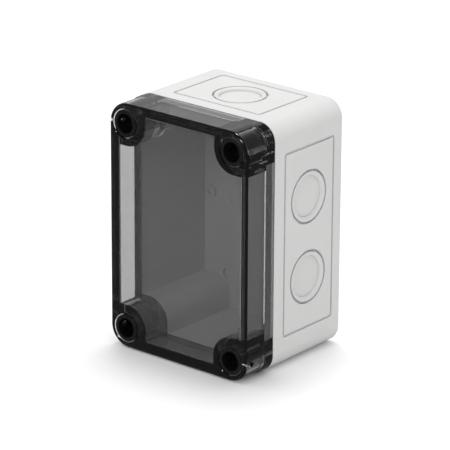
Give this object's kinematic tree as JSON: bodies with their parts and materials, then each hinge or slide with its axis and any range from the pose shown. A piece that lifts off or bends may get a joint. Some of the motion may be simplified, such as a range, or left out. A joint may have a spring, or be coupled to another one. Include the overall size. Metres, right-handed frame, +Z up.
{
  "type": "electrical junction box",
  "caption": "Small upright junction box: light grey base with double-ring knock-outs, deep smoked clear lid with captive corner screws in round wells.",
  "frame": {"origin": "centre of the bottom face of the closed box", "axes": "+Z up along the box's height, +Y from the lid towards the wall, +X to the right seen from the lid"},
  "size_m": [0.064, 0.0544, 0.094],
  "materials": {
    "shell_plastic": "fine moulded matt, light grey",
    "smoked_plastic": "polished clear, smoked grey",
    "screw_plastic": "moulded black",
    "ring_rubber": "smooth black",
    "gasket_foam": "fine foam, dark grey"
  },
  "bodies": {
    "base": {"base_shell": "shell_plastic"},
    "lid": {"lid": "smoked_plastic", "lid_gasket": "gasket_foam"},
    "retainer_top_left": {"ring_top_left": "ring_rubber"},
    "lid_screw_top_left": {"screw_top_left": "screw_plastic"},
    "retainer_top_right": {"ring_top_right": "ring_rubber"},
    "lid_screw_top_right": {"screw_top_right": "screw_plastic"},
    "retainer_bottom_left": {"ring_bottom_left": "ring_rubber"},
    "lid_screw_bottom_left": {"screw_bottom_left": "screw_plastic"},
    "retainer_bottom_right": {"ring_bottom_right": "ring_rubber"},
    "lid_screw_bottom_right": {"screw_bottom_right": "screw_plastic"},
    "entry_ring_right_upper": {"knockout_ring_right_upper": "shell_plastic"},
    "entry_disc_right_upper": {"knockout_disc_right_upper": "shell_plastic"},
    "entry_ring_right_lower": {"knockout_ring_right_lower": "shell_plastic"},
    "entry_disc_right_lower": {"knockout_disc_right_lower": "shell_plastic"},
    "entry_ring_left_upper": {"knockout_ring_left_upper": "shell_plastic"},
    "entry_disc_left_upper": {"knockout_disc_left_upper": "shell_plastic"},
    "entry_ring_left_lower": {"knockout_ring_left_lower": "shell_plastic"},
    "entry_disc_left_lower": {"knockout_disc_left_lower": "shell_plastic"},
    "entry_ring_top": {"knockout_ring_top": "shell_plastic"},
    "entry_disc_top": {"knockout_disc_top": "shell_plastic"},
    "entry_ring_bottom": {"knockout_ring_bottom": "shell_plastic"},
    "entry_disc_bottom": {"knockout_disc_bottom": "shell_plastic"}
  },
  "joints": [
    {"name": "lid_lift_off", "type": "slide", "parent": "base", "child": "lid", "axis": [0, -1, 0], "range_m": [0, 0.04]},
    {"name": "screw_travel_top_left", "type": "slide", "parent": "lid", "child": "retainer_top_left", "axis": [0, -1, 0], "range_m": [0, 0.006]},
    {"name": "screw_turn_top_left", "type": "hinge", "parent": "retainer_top_left", "child": "lid_screw_top_left", "pos_m": [-0.0247, -0.01725, 0.0864], "axis": [0, -1, 0], "range_deg": [0, 1080]},
    {"name": "screw_travel_top_right", "type": "slide", "parent": "lid", "child": "retainer_top_right", "axis": [0, -1, 0], "range_m": [0, 0.006]},
    {"name": "screw_turn_top_right", "type": "hinge", "parent": "retainer_top_right", "child": "lid_screw_top_right", "pos_m": [0.0247, -0.01725, 0.0864], "axis": [0, -1, 0], "range_deg": [0, 1080]},
    {"name": "screw_travel_bottom_left", "type": "slide", "parent": "lid", "child": "retainer_bottom_left", "axis": [0, -1, 0], "range_m": [0, 0.006]},
    {"name": "screw_turn_bottom_left", "type": "hinge", "parent": "retainer_bottom_left", "child": "lid_screw_bottom_left", "pos_m": [-0.0247, -0.01725, 0.0076], "axis": [0, -1, 0], "range_deg": [0, 1080]},
    {"name": "screw_travel_bottom_right", "type": "slide", "parent": "lid", "child": "retainer_bottom_right", "axis": [0, -1, 0], "range_m": [0, 0.006]},
    {"name": "screw_turn_bottom_right", "type": "hinge", "parent": "retainer_bottom_right", "child": "lid_screw_bottom_right", "pos_m": [0.0247, -0.01725, 0.0076], "axis": [0, -1, 0], "range_deg": [0, 1080]},
    {"name": "ring_break_out_right_upper", "type": "slide", "parent": "base", "child": "entry_ring_right_upper", "axis": [-1, 0, 0], "range_m": [0, 0.008]},
    {"name": "disc_break_out_right_upper", "type": "slide", "parent": "entry_ring_right_upper", "child": "entry_disc_right_upper", "axis": [-1, 0, 0], "range_m": [0, 0.008]},
    {"name": "ring_break_out_right_lower", "type": "slide", "parent": "base", "child": "entry_ring_right_lower", "axis": [-1, 0, 0], "range_m": [0, 0.008]},
    {"name": "disc_break_out_right_lower", "type": "slide", "parent": "entry_ring_right_lower", "child": "entry_disc_right_lower", "axis": [-1, 0, 0], "range_m": [0, 0.008]},
    {"name": "ring_break_out_left_upper", "type": "slide", "parent": "base", "child": "entry_ring_left_upper", "axis": [1, 0, 0], "range_m": [0, 0.008]},
    {"name": "disc_break_out_left_upper", "type": "slide", "parent": "entry_ring_left_upper", "child": "entry_disc_left_upper", "axis": [1, 0, 0], "range_m": [0, 0.008]},
    {"name": "ring_break_out_left_lower", "type": "slide", "parent": "base", "child": "entry_ring_left_lower", "axis": [1, 0, 0], "range_m": [0, 0.008]},
    {"name": "disc_break_out_left_lower", "type": "slide", "parent": "entry_ring_left_lower", "child": "entry_disc_left_lower", "axis": [1, 0, 0], "range_m": [0, 0.008]},
    {"name": "ring_break_out_top", "type": "slide", "parent": "base", "child": "entry_ring_top", "axis": [0, 0, -1], "range_m": [0, 0.008]},
    {"name": "disc_break_out_top", "type": "slide", "parent": "entry_ring_top", "child": "entry_disc_top", "axis": [0, 0, -1], "range_m": [0, 0.008]},
    {"name": "ring_break_out_bottom", "type": "slide", "parent": "base", "child": "entry_ring_bottom", "axis": [0, 0, 1], "range_m": [0, 0.008]},
    {"name": "disc_break_out_bottom", "type": "slide", "parent": "entry_ring_bottom", "child": "entry_disc_bottom", "axis": [0, 0, 1], "range_m": [0, 0.008]}
  ],
  "couplings": [
    {"joint": "screw_turn_top_left", "follows": "screw_travel_top_left", "rad_per_m": 3141.6},
    {"joint": "screw_turn_top_right", "follows": "screw_travel_top_right", "rad_per_m": 3141.6},
    {"joint": "screw_turn_bottom_left", "follows": "screw_travel_bottom_left", "rad_per_m": 3141.6},
    {"joint": "screw_turn_bottom_right", "follows": "screw_travel_bottom_right", "rad_per_m": 3141.6}
  ]
}
